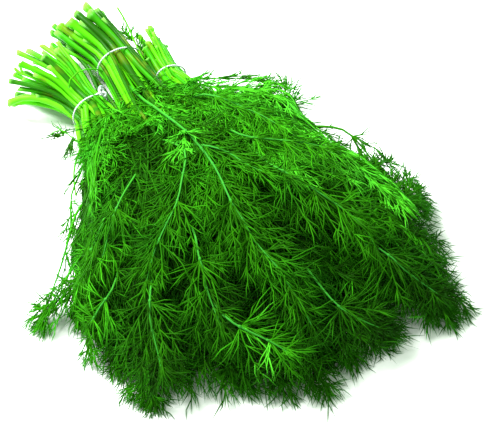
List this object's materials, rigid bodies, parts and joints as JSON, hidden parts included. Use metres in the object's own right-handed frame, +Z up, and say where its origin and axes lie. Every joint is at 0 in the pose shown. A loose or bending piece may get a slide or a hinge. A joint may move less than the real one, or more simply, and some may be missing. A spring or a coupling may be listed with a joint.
{
  "type": "dill bunch",
  "caption": "Bunch of fresh cut dill lying down: thread-tied stalk bundles that open into one wide heap of feathery green leaves.",
  "frame": {"origin": "middle of the underside of the bunch's bounding box, on the surface that it lies on", "axes": "+X from the cut stalk ends towards the leaf tips, +Y across the fan of leaves, +Z up"},
  "size_m": [0.304, 0.2414, 0.0642],
  "materials": {
    "dill_green": "soft satin plant skin, bright yellow-green stalks and deeper green leaf threads",
    "thread_white": "matt twisted cotton thread"
  },
  "bodies": {
    "root": {"left_sprig_01": "dill_green", "left_sprig_02": "dill_green", "left_sprig_03": "dill_green", "left_sprig_04": "dill_green", "left_sprig_05": "dill_green", "left_sprig_06": "dill_green", "left_sprig_07": "dill_green", "left_sprig_08": "dill_green", "left_sprig_09": "dill_green", "left_sprig_10": "dill_green", "left_sprig_11": "dill_green", "left_sprig_12": "dill_green", "left_sprig_13": "dill_green", "left_sprig_14": "dill_green", "left_sprig_15": "dill_green", "left_sprig_16": "dill_green", "left_sprig_17": "dill_green", "left_sprig_18": "dill_green", "left_sprig_19": "dill_green", "left_thread_tie": "thread_white", "middle_sprig_01": "dill_green", "middle_sprig_02": "dill_green", "middle_sprig_03": "dill_green", "middle_sprig_04": "dill_green", "middle_sprig_05": "dill_green", "middle_sprig_06": "dill_green", "middle_sprig_07": "dill_green", "middle_sprig_08": "dill_green", "middle_sprig_09": "dill_green", "middle_sprig_10": "dill_green", "middle_sprig_11": "dill_green", "middle_sprig_12": "dill_green", "middle_sprig_13": "dill_green", "middle_sprig_14": "dill_green", "middle_sprig_15": "dill_green", "middle_sprig_16": "dill_green", "middle_sprig_17": "dill_green", "middle_sprig_18": "dill_green", "middle_sprig_19": "dill_green", "middle_thread_tie": "thread_white", "right_sprig_01": "dill_green", "right_sprig_02": "dill_green", "right_sprig_03": "dill_green", "right_sprig_04": "dill_green", "right_sprig_05": "dill_green", "right_sprig_06": "dill_green", "right_sprig_07": "dill_green", "right_sprig_08": "dill_green", "right_sprig_09": "dill_green", "right_sprig_10": "dill_green", "right_sprig_11": "dill_green", "right_sprig_12": "dill_green", "right_sprig_13": "dill_green", "right_sprig_14": "dill_green", "right_thread_tie": "thread_white"}
  },
  "joints": []
}
